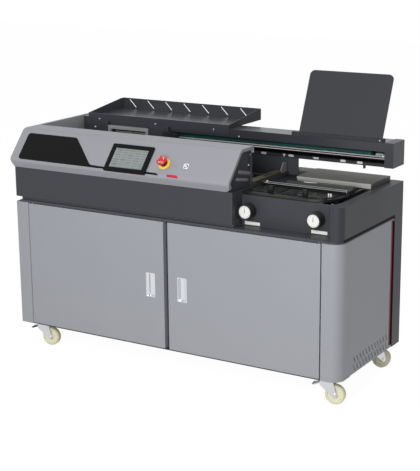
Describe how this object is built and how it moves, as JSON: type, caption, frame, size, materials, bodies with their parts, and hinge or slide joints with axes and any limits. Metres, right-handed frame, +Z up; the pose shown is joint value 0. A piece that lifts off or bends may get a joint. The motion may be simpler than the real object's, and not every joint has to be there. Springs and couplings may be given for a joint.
{
  "type": "perfect binding machine",
  "caption": "Floor-standing perfect binding machine on castors, with control cover, milling and gluing line, travelling book clamp and cover nip.",
  "frame": {"origin": "under the middle of the bounding box, on the floor", "axes": "+X to the operator's right along the beam, -Y towards the operator, +Z up"},
  "size_m": [1.46, 0.7296, 1.1476],
  "materials": {
    "light_grey_paint": "satin light grey powder coat",
    "side_grey_paint": "satin mid grey powder coat",
    "charcoal_paint": "fine textured charcoal powder coat",
    "red_paint": "gloss red enamel",
    "cover_plastic": "matt moulded light grey",
    "black_plastic": "gloss black moulding",
    "black_matt": "matt black moulding",
    "red_plastic": "gloss red moulding",
    "cream_plastic": "matt cream nylon",
    "chrome_plate": "bright plate",
    "zinc_steel": "bright zinc plate",
    "ground_steel": "ground steel",
    "dark_steel": "blackened steel",
    "black_aluminium": "black anodised aluminium",
    "aluminium": "machined aluminium",
    "cast_iron": "machined casting",
    "brass": "dull brass",
    "teal_belt": "matt teal urethane"
  },
  "bodies": {
    "frame": {"base_frame": "charcoal_paint", "left_side_panel": "light_grey_paint", "right_post": "light_grey_paint", "right_side_panel": "side_grey_paint", "rear_panel": "light_grey_paint", "top_deck": "charcoal_paint", "upper_housing": "charcoal_paint", "control_cover": "cover_plastic", "hmi_panel": "black_plastic", "switch_bodies": "dark_steel", "gantry_beam": "charcoal_paint", "beam_end_box": "charcoal_paint", "guide_rods": "chrome_plate", "drive_belt": "teal_belt", "belt_motor": "dark_steel", "beam_pillars": "charcoal_paint", "book_tray": "charcoal_paint", "support_board": "charcoal_paint", "board_holder": "charcoal_paint", "platform_deck": "dark_steel", "rear_nip_jaw": "ground_steel", "knob_panel": "charcoal_paint", "lay_rods": "chrome_plate", "side_cover": "charcoal_paint", "red_trim": "red_paint", "hinge_pins": "zinc_steel", "milling_unit": "cast_iron", "glue_tank": "brass", "castor_plates": "zinc_steel", "dust_bin": "black_matt", "electrical_box": "light_grey_paint"},
    "left_door": {"door_left": "light_grey_paint", "pull_left": "chrome_plate"},
    "right_door": {"door_right": "light_grey_paint", "pull_right": "chrome_plate"},
    "stop_plunger": {"estop_plunger": "black_matt"},
    "stop_cap": {"estop_cap": "red_plastic"},
    "reset_push": {"reset_button": "chrome_plate"},
    "carriage": {"carriage_blocks": "charcoal_paint", "rear_clamp_jaw": "aluminium"},
    "front_clamp": {"front_clamp_jaw": "aluminium"},
    "belt_drive_pulley": {"drive_pulley": "aluminium"},
    "belt_idler_pulley": {"idler_pulley": "aluminium"},
    "cutter": {"milling_cutter": "ground_steel"},
    "glue_wheel": {"glue_roller": "ground_steel"},
    "nip": {"front_nip_jaw": "dark_steel"},
    "left_knob": {"knob_left": "black_aluminium"},
    "right_knob": {"knob_right": "black_aluminium"},
    "left_gauge": {"gauge_left": "black_aluminium"},
    "right_gauge": {"gauge_right": "black_aluminium"},
    "left_pedal": {"pedal_left": "black_matt"},
    "right_pedal": {"pedal_right": "dark_steel"},
    "castor_front_left": {"fork_front_left": "zinc_steel"},
    "tyre_front_left": {"wheel_front_left": "cream_plastic"},
    "castor_front_right": {"fork_front_right": "zinc_steel"},
    "tyre_front_right": {"wheel_front_right": "cream_plastic"},
    "castor_rear_left": {"fork_rear_left": "zinc_steel"},
    "tyre_rear_left": {"wheel_rear_left": "cream_plastic"},
    "castor_rear_right": {"fork_rear_right": "zinc_steel"},
    "tyre_rear_right": {"wheel_rear_right": "cream_plastic"}
  },
  "joints": [
    {"name": "left_door_hinge", "type": "hinge", "parent": "frame", "child": "left_door", "pos_m": [-0.654, -0.32117, 0.354], "axis": [0, 0, -1], "range_deg": [0, 110]},
    {"name": "right_door_hinge", "type": "hinge", "parent": "frame", "child": "right_door", "pos_m": [0.638, -0.32117, 0.354], "axis": [0, 0, 1], "range_deg": [0, 110]},
    {"name": "stop_push", "type": "slide", "parent": "frame", "child": "stop_plunger", "axis": [0, 0.7547, -0.6561], "range_m": [0, 0.005]},
    {"name": "stop_twist", "type": "hinge", "parent": "stop_plunger", "child": "stop_cap", "pos_m": [-0.01, -0.33734, 0.8498], "axis": [0, -0.7547, 0.6561], "range_deg": [0, 30]},
    {"name": "reset_press", "type": "slide", "parent": "frame", "child": "reset_push", "axis": [0, 0.7547, -0.6561], "range_m": [0, 0.003], "stiffness_N_per_m": 400, "springref_m": -0.001},
    {"name": "carriage_travel", "type": "slide", "parent": "frame", "child": "carriage", "axis": [1, 0, 0], "range_m": [0, 0.934]},
    {"name": "clamp_open", "type": "slide", "parent": "carriage", "child": "front_clamp", "axis": [0, -1, 0], "range_m": [0, 0.05]},
    {"name": "drive_pulley_turn", "type": "hinge", "parent": "frame", "child": "belt_drive_pulley", "pos_m": [-0.63, 0.17513, 0.859], "axis": [0, 0, 1], "range_deg": [-2, 3286]},
    {"name": "idler_pulley_turn", "type": "hinge", "parent": "frame", "child": "belt_idler_pulley", "pos_m": [0.6, 0.17513, 0.859], "axis": [0, 0, 1], "range_deg": [-2, 3286]},
    {"name": "cutter_spin", "type": "hinge", "parent": "frame", "child": "cutter", "pos_m": [-0.13, -0.01717, 0.759], "axis": [0, 0, 1], "continuous": true},
    {"name": "glue_wheel_spin", "type": "hinge", "parent": "frame", "child": "glue_wheel", "pos_m": [0.155, -0.01717, 0.736], "axis": [0, 1, 0], "continuous": true},
    {"name": "nip_close", "type": "slide", "parent": "frame", "child": "nip", "axis": [0, 1, 0], "range_m": [0, 0.048]},
    {"name": "left_knob_turn", "type": "hinge", "parent": "frame", "child": "left_knob", "pos_m": [0.322, -0.28218, 0.684], "axis": [0, -1, 0], "range_deg": [0, 1800]},
    {"name": "right_knob_turn", "type": "hinge", "parent": "frame", "child": "right_knob", "pos_m": [0.602, -0.28218, 0.684], "axis": [0, -1, 0], "range_deg": [0, 1800]},
    {"name": "left_gauge_shift", "type": "slide", "parent": "frame", "child": "left_gauge", "axis": [0, -1, 0], "range_m": [-0.0001, 0.0201]},
    {"name": "right_gauge_shift", "type": "slide", "parent": "frame", "child": "right_gauge", "axis": [0, -1, 0], "range_m": [-0.0001, 0.0201]},
    {"name": "castor_swivel_front_left", "type": "hinge", "parent": "frame", "child": "castor_front_left", "pos_m": [-0.656, -0.27218, 0.09], "axis": [0, 0, 1], "continuous": true},
    {"name": "wheel_spin_front_left", "type": "hinge", "parent": "castor_front_left", "child": "tyre_front_left", "pos_m": [-0.62646, -0.26697, 0.0375], "axis": [-0.1736, 0.9848, 0], "continuous": true},
    {"name": "castor_swivel_front_right", "type": "hinge", "parent": "frame", "child": "castor_front_right", "pos_m": [0.656, -0.27218, 0.09], "axis": [0, 0, 1], "continuous": true},
    {"name": "wheel_spin_front_right", "type": "hinge", "parent": "castor_front_right", "child": "tyre_front_right", "pos_m": [0.68554, -0.26697, 0.0375], "axis": [-0.1736, 0.9848, 0], "continuous": true},
    {"name": "castor_swivel_rear_left", "type": "hinge", "parent": "frame", "child": "castor_rear_left", "pos_m": [-0.656, 0.14583, 0.09], "axis": [0, 0, 1], "continuous": true},
    {"name": "wheel_spin_rear_left", "type": "hinge", "parent": "castor_rear_left", "child": "tyre_rear_left", "pos_m": [-0.671, 0.17181, 0.0375], "axis": [-0.866, -0.5, 0], "continuous": true},
    {"name": "castor_swivel_rear_right", "type": "hinge", "parent": "frame", "child": "castor_rear_right", "pos_m": [0.656, 0.14583, 0.09], "axis": [0, 0, 1], "continuous": true},
    {"name": "wheel_spin_rear_right", "type": "hinge", "parent": "castor_rear_right", "child": "tyre_rear_right", "pos_m": [0.67405, 0.16978, 0.0375], "axis": [-0.7986, 0.6018, 0], "continuous": true},
    {"name": "left_pedal_press", "type": "hinge", "parent": "castor_front_left", "child": "left_pedal", "pos_m": [-0.67176, -0.27495, 0.082], "axis": [0.1736, -0.9848, 0], "range_deg": [0, 14]},
    {"name": "right_pedal_press", "type": "hinge", "parent": "castor_front_right", "child": "right_pedal", "pos_m": [0.64024, -0.27495, 0.082], "axis": [0.1736, -0.9848, 0], "range_deg": [0, 14]}
  ],
  "couplings": [
    {"joint": "drive_pulley_turn", "follows": "carriage_travel", "rad_per_m": 61.35},
    {"joint": "idler_pulley_turn", "follows": "carriage_travel", "rad_per_m": 61.35},
    {"joint": "left_gauge_shift", "follows": "left_knob_turn", "m_per_rad": 0.00063662},
    {"joint": "right_gauge_shift", "follows": "right_knob_turn", "m_per_rad": 0.00063662}
  ]
}
